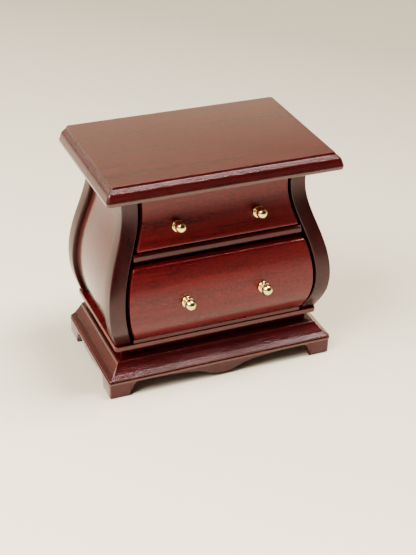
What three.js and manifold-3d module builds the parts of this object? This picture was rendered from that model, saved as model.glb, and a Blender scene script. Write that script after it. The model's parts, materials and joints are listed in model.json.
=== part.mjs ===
// A dolls house chest with a bombe case and two drawers, in millimetres, +Z up and -Y to the front.
// The origin is on the floor, under the middle of the chest.
import * as THREE from 'three';
import { mergeVertices } from 'three/addons/utils/BufferGeometryUtils.js';
import Module from 'manifold-3d';

// Heights of the joints between the storeys, from the floor up.
const APRON_TOP = 5;
const BASE_TOP = 10.7;
const RISER_TOP = 13.8;
const CASE_BOTTOM = 15.6;
const CASE_TOP = 67.3;
const CHEST_TOP = 72.6;

// Half widths and depths. Depths are measured forward from the back edge of the top board.
const TOP = { halfWidth: 38.2, depth: 48.2, reach: 2.6, corner: 1.1 };
const BASE = { halfWidth: 38.7, depth: 48.4, back: 6.6, reach: 4.4, railWidth: 7.4 };
const BOTTOM_BOARD = { halfWidth: 34.7, depth: 43.3, back: 5.4 };
const RISER = { halfWidth: 32.2, depth: 40.8 };
const CASE_BACK = 3.4;

// The swelling outlines of the case: half width of the sides, and depth of the front.
const SIDE = {
  foot: 34.3, bulge: 37.4, neck: 30.4, head: 31.4,
  bulgeAt: 29.5, neckAt: 59.8,
  flare: 0.36, rise: 13, fall: 10,
};
const FRONT = {
  foot: 42.5, bulge: 46.5, neck: 38, head: 38.1,
  bulgeAt: 27.5, neckAt: 62,
  flare: 0.55, rise: 10, fall: 9,
};
const FOOT_EASE = 5;
const CURVE_STEPS = 10;

// Boards of the case.
const POST = { width: 5.3, frontDepth: 6, backDepth: 5 };
const PANEL = { recess: 1.4, thickness: 2.4 };
const BACK_PANEL = { inset: 0.4, thickness: 1.8 };
const SHELF = { low: 43.6, high: 46.6, setback: 0.8, nose: 0.5, halfWidth: 29.4, tongue: 28 };
const GUIDE = { inner: 24, outer: 26, height: 3 };
const RUNNER = { inner: 24.5, outer: 29.7, height: 1.7, fence: 1.6, fenceHeight: 2.7 };
const BOTTOM_RAIL = { high: 17.2, setback: 0.1, depth: 4 };
const TOP_RAIL = { low: 65.7, setback: 0.1, depth: 4 };
const FIT_GAP = 0.3;

// Boards of the base.
const BASE_BOARD_THICKNESS = 1.8;
const BACK_RAIL_THICKNESS = 2;
const APRON = { thickness: 2, face: 0.45, foot: 7, archTop: 4.7, scallop: 8.6, lobe: 0.4, spandrel: 4 };
const BRACKET = { lead: 2.2, corner: 0.8, waist: 0.8, cornerDrop: 2, waistDrop: 3 };
const FRONT_PENDANT = 1.1;
const SIDE_PENDANT = 2.8;
const BLOCK = { leg: 5.5, clearance: 0.8 };

// Drawers: heights of the front, straight box behind it, and the knobs.
// The knob holes are drilled a little off centre.
const DRAWER_GAP = 1.05;
const DRAWER_PROUD = 0.4;
const DRAWER_BOARD = 1.8;
const DRAWER_BOTTOM = { lift: 1, thickness: 1 };
const DRAWER_BACK = 6.4;
const UPPER = {
  low: 47.2, high: 65.2, innerFace: 34.5,
  boxHalf: 23.6, boxLow: 46.9, boxHeight: 14,
  knobX: 13.4, knobShift: 0.1, knobZ: 53.3,
};
const LOWER = {
  low: 17.6, high: 42.6, innerFace: 38.5,
  boxHalf: 27.6, boxLow: 17.6, boxHeight: 19,
  knobX: 12.9, knobShift: 0.5, knobZ: 30,
};
const KNOB = {
  flange: 1.95, flangeDepth: 0.75, neck: 0.95,
  ballCentre: 2.8, ball: 1.78,
  shank: 0.7, shankLength: 3.2,
};
const KNOB_SEAT = 0.15;
const KNOB_STEPS = 20;

const wasm = await Module();
wasm.setup();

const X = new THREE.Vector3(1, 0, 0);
const Y = new THREE.Vector3(0, 1, 0);
const Z = new THREE.Vector3(0, 0, 1);
const BACKWARD = Y.clone();
const FORWARD = Y.clone().negate();

// Closed three.js geometry to a manifold solid, and back again.
function solidOf(geometry) {
  const bare = geometry.clone();
  bare.deleteAttribute('normal');
  bare.deleteAttribute('uv');
  const merged = mergeVertices(bare, 1e-5);
  return new wasm.Manifold(new wasm.Mesh({
    numProp: 3,
    vertProperties: new Float32Array(merged.attributes.position.array),
    triVerts: new Uint32Array(merged.index.array),
  }));
}

function geometryOf(solid) {
  const mesh = solid.getMesh();
  const geometry = new THREE.BufferGeometry();
  geometry.setAttribute('position', new THREE.BufferAttribute(mesh.vertProperties, 3));
  geometry.setIndex(new THREE.BufferAttribute(mesh.triVerts, 1));
  geometry.computeVertexNormals();
  return geometry;
}

// An outline extruded along one axis of the chest, from one place to another.
function extruded(outline, across, up, along, from, to) {
  const shape = new THREE.Shape(outline.map(([a, b]) => new THREE.Vector2(a, b)));
  const geometry = new THREE.ExtrudeGeometry(shape, { depth: to - from, bevelEnabled: false });
  geometry.translate(0, 0, from);
  geometry.applyMatrix4(new THREE.Matrix4().makeBasis(across, up, along));
  return solidOf(geometry);
}

// Outlines given as [x, z], running from one depth forward to another.
const alongDepth = (outline, back, front) => extruded(outline, X, Z, FORWARD, back, front);

// Outlines given as [depth, z], running across the chest.
const alongWidth = (outline, left, right) =>
  extruded(outline.map(([depth, z]) => [-depth, z]), BACKWARD, Z, X, left, right);

// Outlines given as [x, depth], running upwards.
const alongHeight = (outline, low, high) =>
  extruded(outline.map(([x, depth]) => [x, -depth]), X, Y, Z, low, high);

const mirrored = (outline, side) => outline.map(([a, b]) => [side * a, b]);

function box(left, right, back, front, low, high) {
  const geometry = new THREE.BoxGeometry(right - left, front - back, high - low);
  geometry.translate((left + right) / 2, -(back + front) / 2, (low + high) / 2);
  return solidOf(geometry);
}

// The swell of the case as a line of [reach, height]: foot, bulge, neck and head.
function swell(form) {
  const path = new THREE.Path();
  path.moveTo(form.foot, CASE_BOTTOM);
  path.bezierCurveTo(
    form.foot + form.flare * FOOT_EASE, CASE_BOTTOM + FOOT_EASE,
    form.bulge, form.bulgeAt - FOOT_EASE,
    form.bulge, form.bulgeAt,
  );
  path.bezierCurveTo(
    form.bulge, form.bulgeAt + form.rise,
    form.neck, form.neckAt - form.fall,
    form.neck, form.neckAt,
  );
  path.quadraticCurveTo(form.neck, (form.neckAt + CASE_TOP) / 2, form.head, CASE_TOP);
  return path.getPoints(CURVE_STEPS).map((p) => [p.x, p.y]);
}

const sideLine = swell(SIDE);
const frontLine = swell(FRONT);

function reachAt(line, height) {
  const above = Math.max(1, line.findIndex(([, z]) => z >= height));
  const [lowReach, low] = line[above - 1];
  const [highReach, high] = line[above];
  return lowReach + (highReach - lowReach) * (height - low) / (high - low);
}

// The stretch of a line between two heights, moved inwards by a distance.
function stretch(line, low, high, inwards) {
  const inside = line.filter(([, z]) => z > low && z < high);
  const ends = [low, high].map((z) => [reachAt(line, z), z]);
  return [ends[0], ...inside, ends[1]].map(([reach, z]) => [reach - inwards, z]);
}

// The area between two copies of a line, one inside the other.
const band = (line, low, high, outer, inner) =>
  [...stretch(line, low, high, outer), ...stretch(line, low, high, inner).reverse()];

// Half of a symmetrical outline, closed by its mirror image.
const bothSides = (half) => [...half, ...mirrored(half, -1).reverse()];

function curvePoints(start, draw) {
  const path = new THREE.Path();
  path.moveTo(...start);
  draw(path);
  return path.getPoints(CURVE_STEPS / 2).map((p) => [p.x, p.y]);
}

// Edge of the top board, as [distance out from the flat, height above the underside].
const topEdge = curvePoints([2.2, 0], (path) => {
  path.quadraticCurveTo(TOP.reach, 0.4, TOP.reach, 1.4);
  path.bezierCurveTo(2.3, 2.6, 1.5, 4.2, 0.45, 4.6);
  path.lineTo(0.1, 5.3);
});

// Edge of the base moulding, as [distance out from the top arris, height above the apron].
const baseEdge = curvePoints([4.12, 0], (path) => {
  path.lineTo(4.12, 0.8);
  path.lineTo(3.75, 1);
  path.bezierCurveTo(2.5, 1.35, 1.2, 3.2, 0.35, 4.9);
  path.lineTo(0.05, 5.4);
  path.quadraticCurveTo(-0.1, 5.7, -0.4, 5.7);
});

// Edge of the thin bottom board.
const noseEdge = curvePoints([-0.5, 0], (path) => {
  path.quadraticCurveTo(0, 0, 0, 0.5);
  path.lineTo(0, 1.3);
  path.quadraticCurveTo(0, 1.8, -0.5, 1.8);
});

const placed = (edge, reach, height) => edge.map(([out, up]) => [reach + out, height + up]);

// A board with one shaped edge on the front and both sides, and a square back.
function shapedBoard(edge, halfWidth, depth, back, low) {
  const across = bothSides(placed(edge, halfWidth, low));
  const top = low + edge.at(-1)[1];
  const fromBack = [[back, low], ...placed(edge, depth, low), [back, top]];
  const room = halfWidth + depth;
  return alongDepth(across, back, room).intersect(alongWidth(fromBack, -room, room));
}

// The plan of a board with its two front corners rounded.
function roundedPlan(halfWidth, depth, back, radius) {
  const path = new THREE.Path();
  path.moveTo(halfWidth, back);
  path.lineTo(halfWidth, depth - radius);
  path.absarc(halfWidth - radius, depth - radius, radius, 0, Math.PI / 2, false);
  return bothSides(path.getPoints(CURVE_STEPS / 2).map((p) => [p.x, p.y]));
}

const topBoard = () =>
  shapedBoard(topEdge, TOP.halfWidth - TOP.reach, TOP.depth - TOP.reach, 0, CASE_TOP)
    .intersect(alongHeight(roundedPlan(TOP.halfWidth, TOP.depth, 0, TOP.corner), CASE_TOP, CHEST_TOP));

const bottomBoard = () =>
  shapedBoard(noseEdge, BOTTOM_BOARD.halfWidth, BOTTOM_BOARD.depth, BOTTOM_BOARD.back, RISER_TOP);

// The rail under the lower drawer, from post to post and level with their faces.
function bottomRail() {
  const halfWidth = SIDE.foot - POST.width - FIT_GAP;
  const face = stretch(frontLine, CASE_BOTTOM, BOTTOM_RAIL.high, BOTTOM_RAIL.setback);
  const back = FRONT.foot - BOTTOM_RAIL.depth;
  const section = [[back, CASE_BOTTOM], ...face, [back, BOTTOM_RAIL.high]];
  return alongWidth(section, -halfWidth, halfWidth);
}

// The rail over the upper drawer, shaped to the posts at its ends.
function topRail() {
  const half = stretch(sideLine, TOP_RAIL.low, CASE_TOP, POST.width + FIT_GAP);
  const face = stretch(frontLine, TOP_RAIL.low, CASE_TOP, TOP_RAIL.setback);
  const back = FRONT.head - TOP_RAIL.depth;
  const section = [[back, TOP_RAIL.low], ...face, [back, CASE_TOP]];
  return alongDepth(bothSides(half), back, TOP.depth)
    .intersect(alongWidth(section, -TOP.halfWidth, TOP.halfWidth));
}

function frontPost(side) {
  const seenFromFront = mirrored(band(sideLine, CASE_BOTTOM, CASE_TOP, 0, POST.width), side);
  const seenFromSide = band(frontLine, CASE_BOTTOM, CASE_TOP, 0, POST.frontDepth);
  return alongDepth(seenFromFront, 0, TOP.depth)
    .intersect(alongWidth(seenFromSide, -TOP.halfWidth, TOP.halfWidth));
}

function backPost(side) {
  const outline = mirrored(band(sideLine, CASE_BOTTOM, CASE_TOP, 0, POST.width), side);
  return alongDepth(outline, CASE_BACK, CASE_BACK + POST.backDepth);
}

function sidePanel(side) {
  const inner = PANEL.recess + PANEL.thickness;
  const seenFromFront = mirrored(band(sideLine, CASE_BOTTOM, CASE_TOP, PANEL.recess, inner), side);
  const back = CASE_BACK + POST.backDepth + FIT_GAP;
  const frontEdge = stretch(frontLine, CASE_BOTTOM, CASE_TOP, POST.frontDepth + FIT_GAP);
  const seenFromSide = [[back, CASE_BOTTOM], ...frontEdge, [back, CASE_TOP]];
  return alongDepth(seenFromFront, 0, TOP.depth)
    .intersect(alongWidth(seenFromSide, -TOP.halfWidth, TOP.halfWidth));
}

function backPanel() {
  const half = stretch(sideLine, CASE_BOTTOM, CASE_TOP, POST.width + FIT_GAP);
  const back = CASE_BACK + BACK_PANEL.inset;
  return alongDepth(bothSides(half), back, back + BACK_PANEL.thickness);
}

// The shelf between the drawers: a full board, notched round the four posts.
function shelf() {
  const front = reachAt(frontLine, SHELF.low) - SHELF.setback;
  const back = CASE_BACK + BACK_PANEL.inset + BACK_PANEL.thickness + FIT_GAP;
  const backNotch = CASE_BACK + POST.backDepth + FIT_GAP;
  const frontNotch = reachAt(frontLine, SHELF.high) - POST.frontDepth - FIT_GAP;
  const plan = bothSides([
    [SHELF.tongue, back], [SHELF.tongue, backNotch],
    [SHELF.halfWidth, backNotch], [SHELF.halfWidth, frontNotch],
    [SHELF.tongue, frontNotch], [SHELF.tongue, front],
  ]);
  const nose = curvePoints([front - SHELF.nose, SHELF.low], (path) => {
    path.quadraticCurveTo(front, SHELF.low, front, SHELF.low + SHELF.nose);
    path.lineTo(front, SHELF.high - SHELF.nose);
    path.quadraticCurveTo(front, SHELF.high, front - SHELF.nose, SHELF.high);
  });
  const section = [[back, SHELF.low], ...nose, [back, SHELF.high]];
  return alongHeight(plan, SHELF.low, SHELF.high)
    .intersect(alongWidth(section, -SHELF.halfWidth, SHELF.halfWidth));
}

const railBack = CASE_BACK + POST.backDepth + FIT_GAP;

function upperGuide(side) {
  const front = reachAt(frontLine, SHELF.high) - POST.frontDepth - FIT_GAP;
  const outline = [
    [GUIDE.inner, SHELF.high], [GUIDE.outer, SHELF.high],
    [GUIDE.outer, SHELF.high + GUIDE.height], [GUIDE.inner, SHELF.high + GUIDE.height],
  ];
  return alongDepth(mirrored(outline, side), railBack, front - GUIDE.height);
}

function lowerRunner(side) {
  const front = FRONT.foot - POST.frontDepth - FIT_GAP;
  const top = CASE_BOTTOM + RUNNER.height;
  const outline = [
    [RUNNER.inner, CASE_BOTTOM], [RUNNER.outer, CASE_BOTTOM],
    [RUNNER.outer, top + RUNNER.fenceHeight], [RUNNER.outer - RUNNER.fence, top + RUNNER.fenceHeight],
    [RUNNER.outer - RUNNER.fence, top], [RUNNER.inner, top],
  ];
  return alongDepth(mirrored(outline, side), railBack, front);
}

const riser = () => box(-RISER.halfWidth, RISER.halfWidth, BASE.back, RISER.depth, BASE_TOP, RISER_TOP);

const frameInner = BASE.halfWidth - BASE.railWidth;
const frameFront = BASE.depth - BASE.railWidth;

const baseBoard = () =>
  box(-frameInner, frameInner, BASE.back, frameFront, BASE_TOP - BASE_BOARD_THICKNESS, BASE_TOP);

function baseBackRail() {
  const top = BASE_TOP - BASE_BOARD_THICKNESS;
  return box(-frameInner, frameInner, BASE.back, BASE.back + BACK_RAIL_THICKNESS, APRON_TOP, top);
}

// The plan of a mitred front piece, and of a mitred side piece, with outer corners at the given reach.
const frontPlan = (halfWidth, depth, width) =>
  bothSides([[halfWidth - width, depth - width], [halfWidth, depth]]);

const sidePlan = (halfWidth, depth, width, side) => mirrored([
  [halfWidth - width, BASE.back], [halfWidth, BASE.back],
  [halfWidth, depth], [halfWidth - width, depth - width],
], side);

function mouldingSection(outer) {
  const edge = placed(baseEdge, outer - BASE.reach, APRON_TOP);
  const inner = outer - BASE.railWidth;
  return [[inner, APRON_TOP], ...edge, [inner, BASE_TOP]];
}

const frontMoulding = () =>
  alongWidth(mouldingSection(BASE.depth), -BASE.halfWidth, BASE.halfWidth)
    .intersect(alongHeight(frontPlan(BASE.halfWidth, BASE.depth, BASE.railWidth), APRON_TOP, BASE_TOP));

function sideMoulding(side) {
  const plan = sidePlan(BASE.halfWidth, BASE.depth, BASE.railWidth, side);
  return alongDepth(mirrored(mouldingSection(BASE.halfWidth), side), BASE.back, BASE.depth)
    .intersect(alongHeight(plan, APRON_TOP, BASE_TOP));
}

// Lower edge of an apron from its middle out to the end of a foot, as [distance, height].
function apronEdge(half, pendant) {
  const foot = half - APRON.foot;
  const arch = APRON.archTop;
  const drop = arch - pendant;
  return curvePoints([0, pendant], (path) => {
    path.quadraticCurveTo(APRON.scallop * 0.4, pendant, APRON.scallop * 0.7, pendant + drop * APRON.lobe);
    path.quadraticCurveTo(APRON.scallop * 1.2, arch, foot - APRON.spandrel, arch);
    path.lineTo(foot - BRACKET.lead, arch);
    path.quadraticCurveTo(
      foot - BRACKET.corner, arch - BRACKET.corner,
      foot - BRACKET.waist, arch - BRACKET.cornerDrop,
    );
    path.quadraticCurveTo(foot, arch - BRACKET.waistDrop, foot, 0);
    path.lineTo(half, 0);
  });
}

function apronOutline(half, pendant) {
  const lower = apronEdge(half, pendant);
  const left = mirrored(lower.slice(1), -1).reverse();
  return [...left, ...lower, [half, APRON_TOP], [-half, APRON_TOP]];
}

const apronHalf = BASE.halfWidth - APRON.face;
const apronDepth = BASE.depth - APRON.face;

const frontApron = () =>
  alongDepth(apronOutline(apronHalf, FRONT_PENDANT), apronDepth - APRON.thickness, apronDepth)
    .intersect(alongHeight(frontPlan(apronHalf, apronDepth, APRON.thickness), 0, APRON_TOP));

function sideApron(side) {
  const half = (apronDepth - BASE.back) / 2;
  const middle = (apronDepth + BASE.back) / 2;
  const outline = apronOutline(half, SIDE_PENDANT).map(([along, z]) => [middle + along, z]);
  return alongWidth(outline, -apronHalf, apronHalf)
    .intersect(alongHeight(sidePlan(apronHalf, apronDepth, APRON.thickness, side), 0, APRON_TOP));
}

function cornerBlock(side, back) {
  const inner = apronHalf - APRON.thickness;
  const corner = back ? BASE.back : apronDepth - APRON.thickness;
  const inwards = back ? BLOCK.leg : -BLOCK.leg;
  const plan = [[inner, corner], [inner - BLOCK.leg, corner], [inner, corner + inwards]];
  return alongHeight(mirrored(plan, side), BLOCK.clearance, APRON_TOP);
}

// The way a knob points: square to the curved front where it is fixed.
function knobPlace(drawer) {
  const above = reachAt(frontLine, drawer.knobZ + KNOB.flange);
  const below = reachAt(frontLine, drawer.knobZ - KNOB.flange);
  const tilt = Math.atan2(below - above, 2 * KNOB.flange);
  return { tilt, depth: reachAt(frontLine, drawer.knobZ) + DRAWER_PROUD };
}

function placeKnob(object, drawer, side) {
  const { tilt, depth } = knobPlace(drawer);
  object.rotation.x = Math.PI - tilt;
  object.position.set(side * drawer.knobX + drawer.knobShift, -depth, drawer.knobZ);
  object.updateMatrix();
}

// The blind hole for a knob's pin, as a cylinder that starts outside the drawer front.
function knobBore(drawer, side) {
  const radius = KNOB.shank + FIT_GAP;
  const reach = KNOB.shankLength + FIT_GAP;
  const bore = new THREE.Mesh(new THREE.CylinderGeometry(radius, radius, 2 * reach, KNOB_STEPS));
  placeKnob(bore, drawer, side);
  return solidOf(bore.geometry.applyMatrix4(bore.matrix));
}

function drawerFront(drawer) {
  const half = stretch(sideLine, drawer.low, drawer.high, POST.width + DRAWER_GAP);
  const face = stretch(frontLine, drawer.low, drawer.high, -DRAWER_PROUD);
  const section = [[drawer.innerFace, drawer.low], ...face, [drawer.innerFace, drawer.high]];
  const block = alongDepth(bothSides(half), 0, TOP.depth)
    .intersect(alongWidth(section, -TOP.halfWidth, TOP.halfWidth));
  return block.subtract(knobBore(drawer, -1)).subtract(knobBore(drawer, 1));
}

function drawerSide(drawer, side) {
  const inner = drawer.boxHalf - DRAWER_BOARD;
  const top = drawer.boxLow + drawer.boxHeight;
  const outline = [
    [inner, drawer.boxLow], [drawer.boxHalf, drawer.boxLow],
    [drawer.boxHalf, top], [inner, top],
  ];
  return alongDepth(mirrored(outline, side), DRAWER_BACK, drawer.innerFace);
}

function drawerBack(drawer) {
  const inner = drawer.boxHalf - DRAWER_BOARD;
  const top = drawer.boxLow + drawer.boxHeight;
  return box(-inner, inner, DRAWER_BACK, DRAWER_BACK + DRAWER_BOARD, drawer.boxLow, top);
}

function drawerBottom(drawer) {
  const inner = drawer.boxHalf - DRAWER_BOARD;
  const low = drawer.boxLow + DRAWER_BOTTOM.lift;
  const high = low + DRAWER_BOTTOM.thickness;
  return box(-inner, inner, DRAWER_BACK + DRAWER_BOARD, drawer.innerFace, low, high);
}

// A turned knob with its pin, about its own +Y axis: flange on the drawer, neck, then ball.
function knobGeometry() {
  const neckAngle = Math.asin(KNOB.neck / KNOB.ball);
  const neckTop = KNOB.ballCentre - KNOB.ball * Math.cos(neckAngle);
  const path = new THREE.Path();
  path.moveTo(0, -KNOB.shankLength);
  path.lineTo(KNOB.shank, -KNOB.shankLength);
  path.lineTo(KNOB.shank, KNOB_SEAT);
  path.lineTo(KNOB.flange, KNOB_SEAT);
  path.quadraticCurveTo(KNOB.flange, KNOB.flangeDepth, KNOB.neck, KNOB.flangeDepth + KNOB_SEAT);
  path.lineTo(KNOB.neck, neckTop);
  path.absarc(0, KNOB.ballCentre, KNOB.ball, neckAngle - Math.PI / 2, Math.PI / 2, false);
  return new THREE.LatheGeometry(path.getPoints(CURVE_STEPS / 2), KNOB_STEPS);
}

const chest = new THREE.Group();

const mahogany = () => new THREE.MeshStandardMaterial({ color: 0x5a1c16, roughness: 0.28 });
const plainWood = () => new THREE.MeshStandardMaterial({ color: 0x8a5a3c, roughness: 0.6 });
const brass = () => new THREE.MeshStandardMaterial({ color: 0xc9a24a, roughness: 0.22, metalness: 1 });

function add(name, solid, material) {
  const mesh = new THREE.Mesh(geometryOf(solid), material);
  mesh.name = name;
  chest.add(mesh);
}

add('top_board', topBoard(), mahogany());
add('back_panel', backPanel(), mahogany());
add('drawer_shelf', shelf(), mahogany());
add('bottom_board', bottomBoard(), mahogany());
add('bottom_rail', bottomRail(), mahogany());
add('top_rail', topRail(), mahogany());
add('riser', riser(), mahogany());
add('base_board', baseBoard(), plainWood());
add('base_back_rail', baseBackRail(), mahogany());
add('base_moulding_front', frontMoulding(), mahogany());
add('apron_front', frontApron(), mahogany());

for (const [name, side] of [['left', -1], ['right', 1]]) {
  add(`front_post_${name}`, frontPost(side), mahogany());
  add(`back_post_${name}`, backPost(side), mahogany());
  add(`side_panel_${name}`, sidePanel(side), mahogany());
  add(`upper_guide_${name}`, upperGuide(side), plainWood());
  add(`lower_runner_${name}`, lowerRunner(side), plainWood());
  add(`base_moulding_${name}`, sideMoulding(side), mahogany());
  add(`apron_${name}`, sideApron(side), mahogany());
  add(`corner_block_front_${name}`, cornerBlock(side, false), plainWood());
  add(`corner_block_back_${name}`, cornerBlock(side, true), plainWood());
}

for (const [name, drawer] of [['upper', UPPER], ['lower', LOWER]]) {
  add(`${name}_drawer_front`, drawerFront(drawer), mahogany());
  add(`${name}_drawer_back`, drawerBack(drawer), plainWood());
  add(`${name}_drawer_bottom`, drawerBottom(drawer), plainWood());
  for (const [hand, side] of [['left', -1], ['right', 1]]) {
    add(`${name}_drawer_side_${hand}`, drawerSide(drawer, side), plainWood());
    const knob = new THREE.Mesh(knobGeometry(), brass());
    knob.name = `${name}_knob_${hand}`;
    placeKnob(knob, drawer, side);
    chest.add(knob);
  }
}

// The lower knobs stand furthest forward, and half of their depth centres the chest on the origin.
const lowerKnob = knobPlace(LOWER);
const overallDepth = lowerKnob.depth + KNOB.ballCentre * Math.cos(lowerKnob.tilt) + KNOB.ball;
chest.position.y = overallDepth / 2;

export default chest;
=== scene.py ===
"""The looks of the dolls house chest: finer boards, turned knobs, varnished mahogany and a pale studio.

Sizes are in millimetres unless a name says otherwise. A depth is measured forward from the back edge
of the top board, as in the CAD.
"""
import json
import math

import bmesh
import bpy
from mathutils import Euler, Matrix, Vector


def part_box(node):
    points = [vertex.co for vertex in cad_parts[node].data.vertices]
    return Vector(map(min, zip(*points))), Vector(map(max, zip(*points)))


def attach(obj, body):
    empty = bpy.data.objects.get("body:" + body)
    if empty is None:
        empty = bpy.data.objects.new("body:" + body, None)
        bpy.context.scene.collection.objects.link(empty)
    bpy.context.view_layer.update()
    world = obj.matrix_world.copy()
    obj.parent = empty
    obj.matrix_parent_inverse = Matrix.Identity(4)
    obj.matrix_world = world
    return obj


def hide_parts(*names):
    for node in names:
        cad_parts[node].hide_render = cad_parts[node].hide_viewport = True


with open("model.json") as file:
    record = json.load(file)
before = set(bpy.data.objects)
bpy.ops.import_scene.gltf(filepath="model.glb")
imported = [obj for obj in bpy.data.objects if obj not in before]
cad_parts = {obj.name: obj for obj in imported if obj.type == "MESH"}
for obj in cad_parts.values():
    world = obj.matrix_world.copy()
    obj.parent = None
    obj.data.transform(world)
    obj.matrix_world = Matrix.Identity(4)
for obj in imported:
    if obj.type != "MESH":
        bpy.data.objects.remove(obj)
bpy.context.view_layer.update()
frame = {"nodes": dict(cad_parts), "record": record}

MM = 0.001
BACK_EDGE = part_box("top_board")[1].y
RECORD = frame["record"]
BODY_OF = {node: body for body, nodes in RECORD["behaviour"]["bodies"].items() for node in nodes}
SIDES = {"left": -1, "right": 1}


def place(x, depth, z):
    """A point of the chest in metres."""
    return Vector((x * MM, BACK_EDGE - depth * MM, z * MM))


def heights(node):
    """The lowest and the highest level of a CAD node."""
    low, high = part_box(node)
    return low.z / MM, high.z / MM


def depths(node):
    """How far forward a CAD node begins and ends."""
    low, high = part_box(node)
    return (BACK_EDGE - high.y) / MM, (BACK_EDGE - low.y) / MM


def half_width(node):
    """How far a CAD node reaches to the right of the middle."""
    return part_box(node)[1].x / MM


CASE_LOW, CASE_HIGH = heights("front_post_right")
APRON_TOP = heights("apron_front")[1]

# The swelling outlines of the case: half width of the sides, and depth of the front.
SIDE = {
    "foot": 34.3, "bulge": 37.4, "neck": 30.4, "head": 31.4,
    "bulge_at": 29.5, "neck_at": 59.8, "flare": 0.36, "rise": 13, "fall": 10,
}
FRONT = {
    "foot": 42.5, "bulge": 46.5, "neck": 38, "head": 38.1,
    "bulge_at": 27.5, "neck_at": 62, "flare": 0.55, "rise": 10, "fall": 9,
}
FOOT_EASE = 5
SWELL_STEPS = 220

POST_WIDTH = 5.3
POST_DEPTH = 6
PANEL_RECESS = 1.4
PANEL_THICKNESS = 2.4
DRAWER_GAP = 1.05
DRAWER_PROUD = 0.4
SHELF_NOTCH = 1.4
SHELF_NOSE = 1.0
SILL_SETBACK = 0.25
HEAD_CLEARANCE = 0.1
FIT_GAP = 0.3

TOP_REACH = 2.6
TOP_CORNER = 1.2
BASE_REACH = 4.12
BASE_CORNER = 0.8
RAIL_WIDTH = 7.12
APRON_THICKNESS = 2
APRON_ARRIS = 0.3
PENDANT = {"front": 1.1, "side": 2.8}
ARCH_TOP = 4.7
FOOT_WIDTH = 7
SCALLOP = 8.6

# Of each pair of knobs: half the distance apart, how far the pair sits off centre, and its height.
KNOB_PLACES = {"upper": (13.4, 0.1, 53.3), "lower": (12.9, 0.5, 30)}

RING_STEP = 0.6
ARC_STEPS = 5
ARRIS_STEPS = 3
EDGE_STEPS = 8
KNOB_STEPS = 64
BALL_STEPS = 28
BEND_STEPS = 16
SHARP_ANGLE = math.radians(32)
LEAST_RADIUS = 0.01
LEAST_CORNER = 0.15
LEAST_SHARE = 0.05
WELD_METRES = 1e-6


# ---------------------------------------------------------------- outlines

def bezier(points, t):
    """The point of a Bezier curve of any degree."""
    while len(points) > 1:
        points = [a.lerp(b, t) for a, b in zip(points, points[1:])]
    return points[0]


def outline(start, *stretches, steps=EDGE_STEPS):
    """A line through stretches, each given by its control points: one for a straight stretch."""
    points = [Vector(start)]
    for stretch in stretches:
        controls = [points[-1], *map(Vector, stretch)]
        count = 1 if len(stretch) == 1 else steps
        points += [bezier(controls, i / count) for i in range(1, count + 1)]
    return points


def swell(form):
    """The line of (reach, height) that a side or the front follows from foot to head."""
    ease = form["foot"] + form["flare"] * FOOT_EASE
    return outline(
        (form["foot"], CASE_LOW),
        ((ease, CASE_LOW + FOOT_EASE), (form["bulge"], form["bulge_at"] - FOOT_EASE),
         (form["bulge"], form["bulge_at"])),
        ((form["bulge"], form["bulge_at"] + form["rise"]), (form["neck"], form["neck_at"] - form["fall"]),
         (form["neck"], form["neck_at"])),
        ((form["neck"], (form["neck_at"] + CASE_HIGH) / 2), (form["head"], CASE_HIGH)),
        steps=SWELL_STEPS,
    )


SIDE_LINE = swell(SIDE)
FRONT_LINE = swell(FRONT)


def reach_at(line, height):
    """How far out a swelling line stands at a height."""
    above = next((i for i, point in enumerate(line) if point.y >= height), len(line) - 1)
    low, high = line[max(above, 1) - 1], line[max(above, 1)]
    return low.x + (high.x - low.x) * (height - low.y) / (high.y - low.y)


def side_at(height):
    return reach_at(SIDE_LINE, height)


def front_at(height):
    return reach_at(FRONT_LINE, height)


# ---------------------------------------------------------------- meshes

def finished(name, mesh_maker, material):
    """An object from a bmesh, with clean normals, smooth but for its arrises."""
    bmesh.ops.remove_doubles(mesh_maker, verts=mesh_maker.verts, dist=WELD_METRES)
    bmesh.ops.recalc_face_normals(mesh_maker, faces=mesh_maker.faces)
    mesh = bpy.data.meshes.new(name)
    mesh_maker.to_mesh(mesh)
    mesh_maker.free()
    mesh.shade_smooth()
    mesh.set_sharp_from_angle(angle=SHARP_ANGLE)
    mesh.materials.append(material)
    piece = bpy.data.objects.new(name, mesh)
    bpy.context.collection.objects.link(piece)
    return piece


def skin(name, rings, material, ring_closed=True, profile_closed=False):
    """A solid whose surface runs over rings of points, closed by flat ends."""
    mesh_maker = bmesh.new()
    rows = [[mesh_maker.verts.new(point) for point in ring] for ring in rings]
    row_pairs = list(zip(rows, rows[1:])) + ([(rows[-1], rows[0])] if profile_closed else [])
    count = len(rows[0])
    steps = count if ring_closed else count - 1
    for lower, upper in row_pairs:
        for i in range(steps):
            j = (i + 1) % count
            mesh_maker.faces.new((lower[i], lower[j], upper[j], upper[i]))
    if not profile_closed:
        mesh_maker.faces.new(rows[0])
        mesh_maker.faces.new(rows[-1])
    if not ring_closed:
        starts = [row[0] for row in rows]
        ends = [row[-1] for row in rows]
        for loop in ([starts, ends] if profile_closed else [starts + ends[::-1]]):
            mesh_maker.faces.new(loop)
    return finished(name, mesh_maker, material)


def arc(radius, start, end, steps):
    """Points of an arc about the origin, by angles in degrees."""
    angles = [math.radians(start + (end - start) * i / steps) for i in range(steps + 1)]
    return [(radius * math.cos(a), radius * math.sin(a)) for a in angles]


def rounded_ring(left, right, back, front, radius, z):
    """A rectangle with rounded corners, at one height."""
    corners = ((right, front, 0), (left, front, 90), (left, back, 180), (right, back, 270))
    ring = []
    for x, depth, turn in corners:
        inward_x = radius if x == left else -radius
        inward_depth = radius if depth == back else -radius
        ring += [place(x + inward_x + a, depth + inward_depth + b, z)
                 for a, b in arc(radius, turn, turn + 90, ARC_STEPS)]
    return ring


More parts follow.
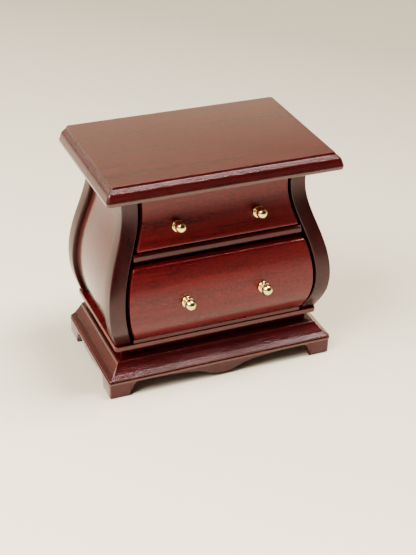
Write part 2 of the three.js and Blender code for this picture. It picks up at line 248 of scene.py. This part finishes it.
def ring_heights(low, high, rounding):
    """Levels from low to high, close together where the ends are rounded."""
    ends = [rounding * (1 - math.cos(math.pi / 2 * i / ARC_STEPS)) for i in range(ARC_STEPS)]
    count = math.ceil((high - low - 2 * rounding) / RING_STEP)
    middle = [low + rounding + (high - low - 2 * rounding) * i / count for i in range(count + 1)]
    return [low + e for e in ends] + middle + [high - e for e in reversed(ends)]


def end_inset(low, high, rounding, z):
    """How far a board with rounded ends draws in at a height."""
    away = min(z - low, high - z, rounding)
    return rounding - math.sqrt(max(0, rounding ** 2 - (rounding - away) ** 2))


def lofted(name, low, high, section, material, arris, rounding):
    """A curved board: section(height) gives its left, right, back and front."""
    rings = []
    for z in ring_heights(low, high, rounding):
        inset = end_inset(low, high, rounding, z)
        left, right, back, front = section(z)
        radius = max(arris - inset, LEAST_RADIUS)
        rings.append(rounded_ring(left + inset, right - inset, back + inset, front - inset, radius, z))
    return skin(name, rings, material)


def plan_line(half, depth, back, radius, back_radius=0):
    """From the back left corner round the front to the back right corner, as (x, depth)."""
    turns = 2 * ARC_STEPS
    left = [(-half + radius + a, depth - radius + b) for a, b in arc(radius, 180, 90, turns)]
    right = [(half - radius + a, depth - radius + b) for a, b in arc(radius, 90, 0, turns)]
    if not back_radius:
        return [(-half, back), *left, *right, (half, back)]
    turn = arc(back_radius, 0, -90, turns)
    behind = [(half - back_radius + a, back + back_radius + b) for a, b in turn]
    before = [(-x, y) for x, y in reversed(behind)]
    return before + left + right + behind


# The stretches of a plan line that lie on the left, front and right of its mitres.
MITRE_PARTS = {
    "left": slice(0, ARC_STEPS + 2),
    "front": slice(ARC_STEPS + 1, 3 * ARC_STEPS + 3),
    "right": slice(3 * ARC_STEPS + 2, 4 * ARC_STEPS + 4),
}


def board(name, edge, half, depth, back, low, corner, material, back_corner=0):
    """A flat board with a shaped edge on its front and sides, from (out, up) points."""
    widest = max(point.x for point in edge)
    rings = []
    for out, up in edge:
        radius = max(LEAST_CORNER, corner * (1 - (widest - out) / TOP_REACH))
        line = plan_line(half + out, depth + out, back, radius, back_corner)
        rings.append([place(x, y, low + up) for x, y in line])
    return skin(name, rings, material, ring_closed=False)


def turned(name, profile, origin, axis, material):
    """A turned piece: the profile holds (radius, distance along the axis)."""
    spin = Vector((0, 0, 1)).rotation_difference(axis)
    rings = []
    for radius, along in profile:
        ring = [Vector((a, b, along)) for a, b in arc(max(radius, LEAST_RADIUS), 0, 360, KNOB_STEPS)[:-1]]
        rings.append([origin + spin @ (point * MM) for point in ring])
    return skin(name, rings, material)


def stand_for(piece, *nodes):
    """The piece takes the place and body of CAD nodes."""
    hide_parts(*nodes)
    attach(piece, BODY_OF[nodes[0]])


# ---------------------------------------------------------------- node trees

def wire(tree, kind, settings=None, **inputs):
    """Adds a node, sets its properties, and sets or links its inputs. An underscore stands for a space."""
    node = tree.nodes.new(kind)
    for key, value in (settings or {}).items():
        setattr(node, key, value)
    for key, value in inputs.items():
        name = key.replace("_", " ")
        socket = node.inputs[int(name[1:])] if name[0] == "i" and name[1:].isdigit() else node.inputs[name]
        if isinstance(value, bpy.types.NodeSocket):
            tree.links.new(value, socket)
        else:
            socket.default_value = value
    return node


def new_material(name):
    material = bpy.data.materials.new(name)
    material.use_nodes = True
    tree = material.node_tree
    tree.nodes.clear()
    shader = tree.nodes.new("ShaderNodeBsdfPrincipled")
    output = tree.nodes.new("ShaderNodeOutputMaterial")
    tree.links.new(shader.outputs["BSDF"], output.inputs["Surface"])
    return material, tree, shader


def noise(tree, vector, scale, detail, roughness, distortion=0.0):
    """Noise with features of about 1/scale metres."""
    node = wire(tree, "ShaderNodeTexNoise", Vector=vector, Scale=scale, Detail=detail,
                Roughness=roughness, Distortion=distortion)
    return node.outputs["Fac"]


def ramp(tree, value, *stops):
    """Colours at places from 0 to 1."""
    node = wire(tree, "ShaderNodeValToRGB", Fac=value)
    elements = node.color_ramp.elements
    while len(elements) < len(stops):
        elements.new(1.0)
    for element, (position, colour) in zip(elements, stops):
        element.position = position
        element.color = (*colour, 1.0)
    return node.outputs["Color"]


def between(tree, value, low, high, out_low, out_high):
    """A value that goes from out_low to out_high as another goes from low to high."""
    node = wire(tree, "ShaderNodeMapRange", i0=value, i1=low, i2=high, i3=out_low, i4=out_high)
    return node.outputs[0]


def maths(tree, operation, first, second):
    return wire(tree, "ShaderNodeMath", {"operation": operation}, i0=first, i1=second).outputs[0]


def weighted(tree, *parts):
    """The sum of values, each times its share."""
    total, *others = [maths(tree, "MULTIPLY", value, share) for value, share in parts]
    for other in others:
        total = maths(tree, "ADD", total, other)
    return total


def mixed(tree, amount, first, second, blend="MIX"):
    settings = {"data_type": "RGBA", "blend_type": blend}
    node = wire(tree, "ShaderNodeMix", settings, Factor=amount, i6=first, i7=second)
    return node.outputs[2]


def grain_coordinates(tree, along, shift, stretch):
    """Coordinates in which a pattern is drawn out along one axis, and shifted from board to board."""
    source = tree.nodes.new("ShaderNodeTexCoord").outputs["Object"]
    scale = [1.0, 1.0, 1.0]
    scale["XYZ".index(along)] = 1 / stretch
    node = wire(tree, "ShaderNodeMapping", Vector=source, Location=(shift, shift, shift), Scale=scale)
    return node.outputs["Vector"]


def arris_wear_and_highlight_mask(tree, radius, patches):
    """High near the arrises, broken up by patches: where edge wear and a painted arris highlight go."""
    soft = wire(tree, "ShaderNodeBevel", {"samples": 6}, Radius=radius).outputs["Normal"]
    true = tree.nodes.new("ShaderNodeNewGeometry").outputs["Normal"]
    likeness = wire(tree, "ShaderNodeVectorMath", {"operation": "DOT_PRODUCT"}, i0=soft, i1=true)
    edge = between(tree, likeness.outputs["Value"], *ROUNDED_OFF)
    return maths(tree, "MULTIPLY", edge, between(tree, patches, *RUBBED_AND_LIT_PATCHES))


def bumped(tree, strength, distance, relief):
    """A normal tilted by a relief of some depth in millimetres."""
    node = wire(tree, "ShaderNodeBump", Strength=strength, Distance=distance * MM, Height=relief)
    return node.outputs["Normal"]


# Each pattern of noise has its features per metre, its detail, its roughness and perhaps its distortion.
# Each range has a low and a high value, and what between() makes of the two.

ROUNDED_OFF = (0.99, 0.86, 0.0, 1.0)
# Where along the arrises the edge wear and the painted arris highlight fall.
RUBBED_AND_LIT_PATCHES = (0.42, 0.6, 0.15, 1.0)

DEEP_RED = (0.085, 0.0052, 0.0062)
WARM_RED = (0.270, 0.0140, 0.0165)
BRIGHT_RED = (0.420, 0.0250, 0.0260)
# The lighter colour of the arrises: partly edge wear, partly a painted arris highlight.
WORN_AND_HIGHLIGHT = (0.30, 0.105, 0.060)
LACQUER_TINT = (1.0, 0.84, 0.92, 1.0)
LACQUER_IOR = 1.55
COAT_ROUGHNESS = 0.08
# How strong and how wide the arrises' edge wear and painted highlight are.
WEAR_AND_HIGHLIGHT = 0.5
WEAR_AND_HIGHLIGHT_RADIUS = 0.4

FIGURE = (330, 4, 0.55, 0.2)
STREAKS = (1700, 3, 0.6)
PORES = (3000, 2, 0.5)
MOTTLE = (1500, 3, 0.65)
ORANGE_PEEL = (2700, 2, 0.6)
PORE_SHADE = (0.28, 0.40, 0.75, 1.0)
GLOSS = (0.35, 0.65, 0.27, 0.33)
CALM_ON_LEVEL = (0.90, 0.99, 1.0, 0.12)
CALM_ON_UPRIGHT = (0.62, 0.76, 0.2, 1.0)


def red_stain(tree, figure, streaks, pores, mottle, tone):
    """The colour of stained mahogany, streaked along its grain, darker in its pores, and lighter on its
    arrises, partly from wear and partly as a painted highlight.
    """
    stain = weighted(tree, (figure, 0.34), (streaks, 0.20), (mottle, 0.46))
    colour = ramp(tree, stain, (0.36, DEEP_RED), (0.50, WARM_RED), (0.64, BRIGHT_RED))
    colour = mixed(tree, 1.0, colour, between(tree, pores, *PORE_SHADE), "MULTIPLY")
    colour = mixed(tree, 1.0, colour, (tone, tone, tone, 1.0), "MULTIPLY")
    # Painted highlight and wear: a lighter brown on the arrises, partly worn finish and partly standing in
    # for their highlight.
    worn_and_lit = maths(tree, "MULTIPLY", arris_wear_and_highlight_mask(tree, WEAR_AND_HIGHLIGHT_RADIUS * MM, mottle), WEAR_AND_HIGHLIGHT)
    return mixed(tree, worn_and_lit, colour, (*WORN_AND_HIGHLIGHT, 1.0))


def varnish_ripples(tree, streaks, orange_peel, peel):
    """The relief of the varnish: full on slopes, slight on level and on upright faces."""
    relief = weighted(tree, (streaks, 0.3), (orange_peel, 0.7))
    true_normal = tree.nodes.new("ShaderNodeNewGeometry").outputs["Normal"]
    upward = wire(tree, "ShaderNodeSeparateXYZ", Vector=true_normal).outputs["Z"]
    on_level = between(tree, upward, *CALM_ON_LEVEL)
    on_upright = between(tree, upward, *CALM_ON_UPRIGHT)
    return bumped(tree, maths(tree, "MULTIPLY", on_level, on_upright), peel, relief)


def mahogany(along, shift, tone, peel=0.07, coat=0.4):
    """Mahogany stained dark red under a gloss varnish, with its grain along one axis."""
    material, tree, shader = new_material(f"mahogany_{along}_{round(shift * 100)}")
    fibres = grain_coordinates(tree, along, shift, stretch=14)
    flecks = grain_coordinates(tree, along, shift, stretch=6)
    even = grain_coordinates(tree, along, shift, stretch=1.5)
    figure = noise(tree, fibres, *FIGURE)
    streaks = noise(tree, fibres, *STREAKS)
    pores = noise(tree, flecks, *PORES)
    mottle = noise(tree, even, *MOTTLE)
    colour = red_stain(tree, figure, streaks, pores, mottle, tone)
    ripples = varnish_ripples(tree, streaks, noise(tree, even, *ORANGE_PEEL), peel)
    tree.links.new(colour, shader.inputs["Base Color"])
    tree.links.new(between(tree, figure, *GLOSS), shader.inputs["Roughness"])
    tree.links.new(ripples, shader.inputs["Normal"])
    tree.links.new(ripples, shader.inputs["Coat Normal"])
    shader.inputs["IOR"].default_value = LACQUER_IOR
    shader.inputs["Coat Weight"].default_value = coat
    shader.inputs["Coat Roughness"].default_value = COAT_ROUGHNESS
    shader.inputs["Specular Tint"].default_value = LACQUER_TINT
    return material


PLAIN_DARK = (0.17, 0.062, 0.030)
PLAIN_MIDDLE = (0.34, 0.155, 0.080)
PLAIN_PALE = (0.47, 0.250, 0.140)
PLAIN_FIGURE = (380, 5, 0.6, 0.5)
PLAIN_STREAKS = (2300, 3, 0.6)
BLOTCHES = (150, 3, 0.5)
PLAIN_ROUGHNESS = (0.3, 0.7, 0.52, 0.72)
BLOTCH_SHADE = 0.72


def plain_wood(along, shift, tone=1.0):
    """Thinly stained wood that nobody polished, inside and under the chest."""
    material, tree, shader = new_material(f"plain_wood_{along}_{round(shift * 100)}")
    fibres = grain_coordinates(tree, along, shift, stretch=18)
    even = grain_coordinates(tree, along, shift, stretch=2)
    figure = noise(tree, fibres, *PLAIN_FIGURE)
    streaks = noise(tree, fibres, *PLAIN_STREAKS)
    blotches = noise(tree, even, *BLOTCHES)
    stain = weighted(tree, (figure, 0.65), (streaks, 0.35))
    colour = ramp(tree, stain, (0.34, PLAIN_DARK), (0.52, PLAIN_MIDDLE), (0.68, PLAIN_PALE))
    shade = between(tree, blotches, 0.3, 0.7, BLOTCH_SHADE * tone, tone)
    colour = mixed(tree, 1.0, colour, shade, "MULTIPLY")
    tree.links.new(colour, shader.inputs["Base Color"])
    tree.links.new(between(tree, streaks, *PLAIN_ROUGHNESS), shader.inputs["Roughness"])
    tree.links.new(bumped(tree, 0.45, 0.05, streaks), shader.inputs["Normal"])
    return material


DULL_BRASS = (0.74, 0.58, 0.27)
BRIGHT_BRASS = (0.92, 0.79, 0.44)
SMEARS = (700, 3, 0.6)
SCRATCHES = (6000, 2, 0.5)
BRASS_ROUGHNESS = (0.3, 0.7, 0.24, 0.13)


def brass():
    """Turned brass, polished, a little dull in places."""
    material, tree, shader = new_material("turned_brass")
    source = tree.nodes.new("ShaderNodeTexCoord").outputs["Object"]
    smears = noise(tree, source, *SMEARS)
    scratches = noise(tree, source, *SCRATCHES)
    colour = ramp(tree, smears, (0.32, DULL_BRASS), (0.62, BRIGHT_BRASS))
    tree.links.new(colour, shader.inputs["Base Color"])
    tree.links.new(between(tree, smears, *BRASS_ROUGHNESS), shader.inputs["Roughness"])
    tree.links.new(bumped(tree, 0.12, 0.01, scratches), shader.inputs["Normal"])
    shader.inputs["Metallic"].default_value = 1.0
    return material


PAPER = (0.78, 0.72, 0.58)
PAPER_CLOUD = (3, 2, 0.5)
CLOUD_SHADE = 0.985
PAPER_ROUGHNESS = 0.75

# Painted shade: the paper's colour darkens in this direction across the floor, standing in for light that
# falls off, and lightens again further off.
PAINTED_SHADE_DIRECTION = (0.70, 0.71, 0.0)
PAINTED_SHADE_FALL = (-0.14, 0.30, 1.22, 0.50)
PAINTED_SHADE_RECOVERY = (0.5, 0.9, 1.0, 2.0)


def paper():
    """Seamless pale paper for the floor and backdrop, with painted shade across the floor."""
    material, tree, shader = new_material("floor_paper")
    source = tree.nodes.new("ShaderNodeTexCoord").outputs["Object"]
    cloud = noise(tree, source, *PAPER_CLOUD)
    tone = ramp(tree, cloud, (0.3, tuple(c * CLOUD_SHADE for c in PAPER)), (0.7, PAPER))
    # Painted shade: the colour is darker along one direction across the floor and lighter again further
    # off.
    away = wire(tree, "ShaderNodeVectorMath", {"operation": "DOT_PRODUCT"}, i0=source, i1=PAINTED_SHADE_DIRECTION)
    painted_shade = between(tree, away.outputs["Value"], *PAINTED_SHADE_FALL)
    painted_recovery = between(tree, away.outputs["Value"], *PAINTED_SHADE_RECOVERY)
    tone = mixed(tree, 1.0, tone, maths(tree, "MULTIPLY", painted_shade, painted_recovery), "MULTIPLY")
    tree.links.new(tone, shader.inputs["Base Color"])
    shader.inputs["Roughness"].default_value = PAPER_ROUGHNESS
    return material


# ---------------------------------------------------------------- the top and the case

# The edges of the boards, as points of (out, up).
TOP_EDGE = outline(
    (2.0, 0),
    ((2.45, 0.05), (2.52, 0.45)),
    ((2.6, 1.15),),
    ((2.6, 1.25), (2.56, 1.38)),
    ((2.18, 2.4), (1.95, 3.3), (1.6, 3.72)),
    ((1.42, 3.93), (0.9, 4.3), (0.42, 4.6)),
    ((0.36, 4.6),),
    ((0.08, 5.2),),
    ((0.05, 5.3), (-0.06, 5.3)),
)

BOTTOM_EDGE = outline((-0.35, 0), ((0, 0), (0, 0.35)), ((0, 1.5),), ((0, 1.8), (-0.35, 1.8)))

RISER_EDGE = outline((0, 0), ((0, 3.1),))


def make_top(material):
    low = heights("top_board")[0]
    half = half_width("top_board") - TOP_REACH
    depth = depths("top_board")[1] - TOP_REACH
    piece = board("top", TOP_EDGE, half, depth, 0, low, TOP_CORNER, material, back_corner=0.9)
    stand_for(piece, "top_board")


def make_bottom(material):
    back, front = depths("bottom_board")
    low = heights("bottom_board")[0]
    half = half_width("bottom_board")
    piece = board("case_bottom", BOTTOM_EDGE, half, front, back, low, corner=0.9, material=material)
    stand_for(piece, "bottom_board")


def make_riser(material):
    back, front = depths("riser")
    low = heights("riser")[0]
    half = half_width("riser")
    piece = board("plinth_riser", RISER_EDGE, half, front, back, low, corner=0.4, material=material)
    stand_for(piece, "riser")


def turned_over(side, inner, outer):
    """Left and right ends of a board that lies between two reaches on one side."""
    return (inner, outer) if side > 0 else (-outer, -inner)


def make_bottom_rail(material):
    """The low rail under the lower drawer."""
    low, high = heights("bottom_rail")
    back = depths("bottom_rail")[0]
    reach = half_width("bottom_rail")

    def section(_):
        return -reach, reach, back, front_at(high) - SILL_SETBACK

    piece = lofted("sill_rail", low, high, section, material, arris=0.1, rounding=0.3)
    stand_for(piece, "bottom_rail")


def make_top_rail(material):
    """The low rail over the upper drawer, shaped to the posts at its ends."""
    low, high = heights("top_rail")
    back = depths("top_rail")[0]

    def section(z):
        reach = side_at(z) - POST_WIDTH - HEAD_CLEARANCE
        return -reach, reach, back, front_at(z) - HEAD_CLEARANCE

    piece = lofted("head_rail", low, high, section, material, arris=0.1, rounding=0.2)
    stand_for(piece, "top_rail")


def make_front_post(hand, side, material):
    def section(z):
        left, right = turned_over(side, side_at(z) - POST_WIDTH, side_at(z))
        return left, right, front_at(z) - POST_DEPTH, front_at(z)

    name = f"front_pilaster_{hand}"
    piece = lofted(name, CASE_LOW, CASE_HIGH, section, material, arris=0.5, rounding=0.15)
    stand_for(piece, f"front_post_{hand}")


def make_back_post(hand, side, material):
    back, front = depths(f"back_post_{hand}")

    def section(z):
        left, right = turned_over(side, side_at(z) - POST_WIDTH, side_at(z))
        return left, right, back, front

    name = f"back_pilaster_{hand}"
    piece = lofted(name, CASE_LOW, CASE_HIGH, section, material, arris=0.45, rounding=0.15)
    stand_for(piece, f"back_post_{hand}")


def make_side_panel(hand, side, material):
    back = depths(f"side_panel_{hand}")[0]

    def section(z):
        outer = side_at(z) - PANEL_RECESS
        left, right = turned_over(side, outer - PANEL_THICKNESS, outer)
        return left, right, back, front_at(z) - POST_DEPTH - FIT_GAP

    name = f"side_board_{hand}"
    piece = lofted(name, CASE_LOW, CASE_HIGH, section, material, arris=0.12, rounding=0.1)
    stand_for(piece, f"side_panel_{hand}")


def make_shelf(material):
    """The rail between the drawers, with its rounded nose, notched behind the front posts."""
    back, front = depths("drawer_shelf")
    low, high = heights("drawer_shelf")
    outer = half_width("drawer_shelf")
    tongue = outer - SHELF_NOTCH
    notch = front_at(high) - POST_DEPTH - FIT_GAP
    back_notch = depths("back_post_left")[1] + FIT_GAP
    rings = []
    for z in ring_heights(low, high, SHELF_NOSE):
        inset = end_inset(low, high, SHELF_NOSE, z)
        half = [(tongue, back), (tongue, back_notch), (outer, back_notch), (outer, notch),
                (tongue, notch), (tongue, front - inset)]
        rings.append([place(x, y, z) for x, y in half] + [place(-x, y, z) for x, y in reversed(half)])
    piece = skin("drawer_divider", rings, material)
    stand_for(piece, "drawer_shelf")


# ---------------------------------------------------------------- the base

# From the lip on the feet, over a groove and a bead, up the flare to the top of the moulding.
BASE_EDGE = outline(
    (3.97, 0),
    ((4.12, 0), (4.12, 0.15)),
    ((4.12, 0.75),),
    ((3.72, 0.8),),
    ((3.72, 1.12),),
    ((4.13, 1.17), (4.1, 1.6), (3.65, 1.7)),
    ((3.0, 2.05), (2.5, 2.33)),
    ((1.8, 3.12), (1.0, 4.03), (0.35, 4.85)),
    ((0.15, 5.2),),
    ((0, 5.6), (-0.45, 5.7)),
)


def make_base_moulding(part, material):
    node = f"base_moulding_{part}"
    low, high = heights(node)
    half = half_width("base_moulding_right") - BASE_REACH
    depth = depths("base_moulding_front")[1] - BASE_REACH
    back = depths("base_moulding_left")[0]
    inner = BASE_REACH - RAIL_WIDTH
    profile = [Vector((inner, 0)), *BASE_EDGE, Vector((inner, high - low))]
    rings = []
    for out, up in profile:
        radius = BASE_CORNER * max(LEAST_SHARE, out / BASE_REACH)
        line = plan_line(half + out, depth + out, back, radius)[MITRE_PARTS[part]]
        rings.append([place(x, y, low + up) for x, y in line])
    piece = skin(f"moulding_{part}", rings, material, ring_closed=False, profile_closed=True)
    stand_for(piece, node)


def apron_edge(half, pendant):
    """The lower edge of an apron from end to end, as (distance from its middle, height)."""
    foot = half - FOOT_WIDTH
    rise = ARCH_TOP - pendant
    right = outline(
        (0, pendant),
        ((SCALLOP * 0.4, pendant), (SCALLOP * 0.7, pendant + rise * 0.4)),
        ((SCALLOP * 1.2, ARCH_TOP), (foot - 4, ARCH_TOP)),
        ((foot - 2.2, ARCH_TOP),),
        ((foot - 0.8, ARCH_TOP - 0.8), (foot - 0.8, ARCH_TOP - 2)),
        ((foot, ARCH_TOP - 3), (foot, 0)),
        ((half, 0),),
    )
    return [Vector((-p.x, p.y)) for p in reversed(right[1:])] + right


def inset_line(line, distance):
    """The line moved up into the board, square to itself."""
    moved = []
    for i, point in enumerate(line):
        along = (line[min(i + 1, len(line) - 1)] - line[max(i - 1, 0)]).normalized()
        moved.append(point + Vector((-along.y, along.x)) * distance)
    return moved


def apron_ring(line, half, reach, out, rounded_start):
    """One ring of an apron as (along, across, height), with the half corners up to its mitres."""
    radius = max(BASE_CORNER + out, 0)
    limit = half + out - radius
    start_limit = limit if rounded_start else half
    ring = [(min(max(p.x, -start_limit), limit), reach + out, p.y) for p in line]
    corner = [(limit + b, reach + out - radius + a) for a, b in arc(radius, 0, 45, ARC_STEPS)]
    end = [(x, y, line[-1].y) for x, y in corner[1:]]
    start = [(-x, y, line[0].y) for x, y in reversed(corner[1:])] if rounded_start else []
    return start + ring + end


def apron_rings(half, reach, pendant, rounded_start):
    """The rings of an apron, from its top edge over the front, the arrises and the back."""
    line = apron_edge(half, pendant)
    level = [Vector((p.x, APRON_TOP)) for p in line]
    quarter = arc(APRON_ARRIS, 0, 90, ARRIS_STEPS)
    behind = APRON_THICKNESS - APRON_ARRIS
    front = [(a - APRON_ARRIS, inset_line(line, APRON_ARRIS - b)) for a, b in quarter]
    back = [(-behind - b, inset_line(line, APRON_ARRIS - a)) for a, b in quarter]
    layers = [(0, level), *front, *back, (-APRON_THICKNESS, level)]
    return [apron_ring(points, half, reach, out, rounded_start) for out, points in layers]


def make_front_apron(material):
    half = half_width("apron_front")
    reach = depths("apron_front")[1]
    rings = apron_rings(half, reach, PENDANT["front"], True)
    placed = [[place(x, y, z) for x, y, z in ring] for ring in rings]
    piece = skin("bracket_apron_front", placed, material, ring_closed=False, profile_closed=True)
    stand_for(piece, "apron_front")


def make_side_apron(hand, side, material):
    back, front = depths(f"apron_{hand}")
    middle = (back + front) / 2
    rings = apron_rings((front - back) / 2, half_width("apron_front"), PENDANT["side"], False)
    placed = [[place(side * across, middle + along, z) for along, across, z in ring] for ring in rings]
    piece = skin(f"bracket_apron_{hand}", placed, material, ring_closed=False, profile_closed=True)
    stand_for(piece, f"apron_{hand}")


# ---------------------------------------------------------------- the drawers

def make_drawer_front(level, material):
    node = f"{level}_drawer_front"
    low, high = heights(node)
    back = depths(f"{level}_drawer_side_left")[1]

    def section(z):
        reach = side_at(z) - POST_WIDTH - DRAWER_GAP
        return -reach, reach, back, front_at(z) + DRAWER_PROUD

    piece = lofted(f"{level}_drawer_face", low, high, section, material, arris=0.4, rounding=0.6)
    stand_for(piece, node)


# A knob up to its ball, as points of (radius, distance in front of the drawer).
KNOB_PROFILE = outline(
    (0.7, -3.2),
    ((0.7, 0.15),),
    ((1.87, 0.15),),
    ((1.97, 0.2), (1.95, 0.42)),
    ((1.85, 0.78), (1.3, 0.82)),
    ((0.98, 0.84), (0.93, 1.0)),
    ((0.92, 1.15), (0.95, 1.3)),
)
NECK_RADIUS = KNOB_PROFILE[-1].x
BALL_CENTRE = 2.8
BALL_RADIUS = 1.78
BALL_FLAT = 0.22


def ball_profile():
    """The ball of a knob, from the neck to the small flat at its tip."""
    start = math.degrees(math.asin(NECK_RADIUS / BALL_RADIUS)) - 90
    end = 90 - math.degrees(math.asin(BALL_FLAT / BALL_RADIUS))
    return [Vector((a, BALL_CENTRE + b)) for a, b in arc(BALL_RADIUS, start, end, BALL_STEPS)]


def make_knob(level, hand, side, material):
    """A knob that stands square to the slope of its drawer front."""
    apart, shift, height = KNOB_PLACES[level]
    rise = front_at(height - 1) - front_at(height + 1)
    axis = Vector((0, -2, rise)).normalized()
    seat = place(side * apart + shift, front_at(height) + DRAWER_PROUD, height)
    piece = turned(f"{level}_pull_{hand}", KNOB_PROFILE + ball_profile(), seat, axis, material)
    stand_for(piece, f"{level}_knob_{hand}")


# ---------------------------------------------------------------- kept CAD nodes

KEPT_ARRIS = 0.14


def dress(node, material):
    """A CAD node that stays gets its material, and a small bevel on its arrises."""
    thing = frame["nodes"][node]
    thing.data.materials.clear()
    thing.data.materials.append(material)
    bevel = thing.modifiers.new("arrises", "BEVEL")
    bevel.width = KEPT_ARRIS * MM
    bevel.segments = 2
    bevel.limit_method = "ANGLE"
    bevel.harden_normals = True


# ---------------------------------------------------------------- studio, in metres

PAPER_FRONT = -3.0
PAPER_BACK = 1.1
PAPER_TOP = 1.6
PAPER_SIDE = 6.0
PAPER_BEND = 0.5
LIT_POINT = Vector((0, 0, 0.03))

# The room is dark about this direction, and pale from some way off it.
DARK_SIDE = (0.357, -0.841, 0.407)
ROOM_LIGHT = (0.84, 0.58, 0.05, 0.42)
ROOM_COLOUR = (1.0, 0.96, 0.90, 1.0)

# The camera's place is given as the chest's points are: x, depth and height in millimetres.
CAMERA_AT = (-133.7, 343.5, 231.6)
CAMERA_TURN = (1.0291, -0.0248, -0.3923)
LENS = 79.72
SENSOR_WIDTH = 36


def make_floor():
    """A floor that turns up into a backdrop, well behind the chest."""
    foot = PAPER_BACK - PAPER_BEND
    line = [(PAPER_FRONT, 0.0), (foot, 0.0)]
    line += [(foot + a, PAPER_BEND + b) for a, b in arc(PAPER_BEND, -90, 0, BEND_STEPS)[1:]]
    line.append((PAPER_BACK, PAPER_TOP))
    mesh_maker = bmesh.new()
    rows = [[mesh_maker.verts.new((x, y, z)) for y, z in line] for x in (-PAPER_SIDE, PAPER_SIDE)]
    for i in range(len(line) - 1):
        mesh_maker.faces.new((rows[0][i], rows[1][i], rows[1][i + 1], rows[0][i + 1]))
    finished("floor", mesh_maker, paper())


def softbox(name, power, size, location, colour):
    """A rectangular lamp turned towards the chest."""
    light = bpy.data.lights.new(name, "AREA")
    light.shape = "RECTANGLE"
    light.size, light.size_y = size
    light.energy = power
    light.color = colour
    lamp = bpy.data.objects.new(name, light)
    lamp.location = location
    lamp.rotation_euler = (LIT_POINT - Vector(location)).to_track_quat("-Z", "Y").to_euler()
    bpy.context.collection.objects.link(lamp)


def make_room():
    """A pale room all round, but for a dark part in front of the chest."""
    world = bpy.data.worlds.new("room")
    world.use_nodes = True
    tree = world.node_tree
    background = tree.nodes["Background"]
    direction = tree.nodes.new("ShaderNodeTexCoord").outputs["Generated"]
    facing = wire(tree, "ShaderNodeVectorMath", {"operation": "DOT_PRODUCT"}, i0=direction, i1=DARK_SIDE)
    lit = between(tree, facing.outputs["Value"], *ROOM_LIGHT)
    tree.links.new(lit, background.inputs["Strength"])
    background.inputs["Color"].default_value = ROOM_COLOUR
    bpy.context.scene.world = world


def make_camera():
    """The camera, in front of the chest, to its left and above it."""
    data = bpy.data.cameras.new("camera")
    data.lens = LENS
    data.sensor_width = SENSOR_WIDTH
    camera = bpy.data.objects.new("camera", data)
    camera.location = place(*CAMERA_AT)
    camera.rotation_euler = Euler(CAMERA_TURN, "XYZ")
    bpy.context.collection.objects.link(camera)
    bpy.context.scene.camera = camera


# ---------------------------------------------------------------- assembly

def make_studio():
    make_camera()
    make_floor()
    make_room()
    softbox("overhead", power=17, size=(0.33, 0.5), location=(0.33, -0.06, 1.05), colour=(1, 0.94, 0.87))
    softbox("left", power=17.5, size=(0.7, 0.7), location=(-0.70, -0.15, 0.85), colour=(1, 0.965, 0.92))


def make_case():
    make_top(mahogany("X", shift=0.3, tone=0.2, peel=0.6, coat=0.95))
    make_bottom(mahogany("X", shift=0.9, tone=0.35))
    rail_wood = mahogany("X", shift=1.1, tone=0.3, coat=0.15)
    make_bottom_rail(rail_wood)
    make_top_rail(rail_wood)
    make_riser(mahogany("X", shift=1.3, tone=0.3))
    make_shelf(mahogany("X", shift=1.7, tone=0.2, coat=0.1))
    upright_wood = mahogany("Z", shift=2.1, tone=0.12, coat=0.2)
    panel_wood = mahogany("Z", shift=2.6, tone=0.26, coat=0.8)
    for hand, side in SIDES.items():
        make_front_post(hand, side, upright_wood)
        make_back_post(hand, side, upright_wood)
        make_side_panel(hand, side, panel_wood)
    dress("back_panel", mahogany("X", shift=6.1, tone=0.22, coat=0.1))


def make_base():
    across = mahogany("X", shift=3.2, tone=0.24, peel=0.4, coat=1.0)
    along = mahogany("Y", shift=3.6, tone=0.24, peel=0.12, coat=1.0)
    make_base_moulding("front", across)
    make_front_apron(mahogany("X", shift=3.9, tone=0.24, coat=0.1))
    for hand, side in SIDES.items():
        make_base_moulding(hand, along)
        make_side_apron(hand, side, along)
    dress("base_back_rail", across)


def make_drawers():
    knob_brass = brass()
    fronts = {
        "upper": mahogany("X", shift=4.1, tone=0.44, coat=0.15),
        "lower": mahogany("X", shift=4.7, tone=0.43, coat=0.2),
    }
    for level, material in fronts.items():
        make_drawer_front(level, material)
        for hand, side in SIDES.items():
            make_knob(level, hand, side, knob_brass)


def dress_insides():
    """The drawer boxes, what they run on, and the unpolished wood inside the base."""
    plain_across, plain_along = plain_wood("X", shift=5.3), plain_wood("Y", shift=5.3)
    rough_wood = plain_wood("X", shift=5.9, tone=0.35)
    for level in ("upper", "lower"):
        dress(f"{level}_drawer_back", plain_across)
        dress(f"{level}_drawer_bottom", plain_across)
        for hand in SIDES:
            dress(f"{level}_drawer_side_{hand}", plain_along)
    dress("base_board", rough_wood)
    for hand in SIDES:
        dress(f"upper_guide_{hand}", plain_along)
        dress(f"lower_runner_{hand}", plain_along)
        for end in ("front", "back"):
            dress(f"corner_block_{end}_{hand}", rough_wood)


make_studio()
make_case()
make_base()
make_drawers()
dress_insides()

view = bpy.context.scene.view_settings
view.view_transform = "AgX"
view.look = "AgX - Medium High Contrast"
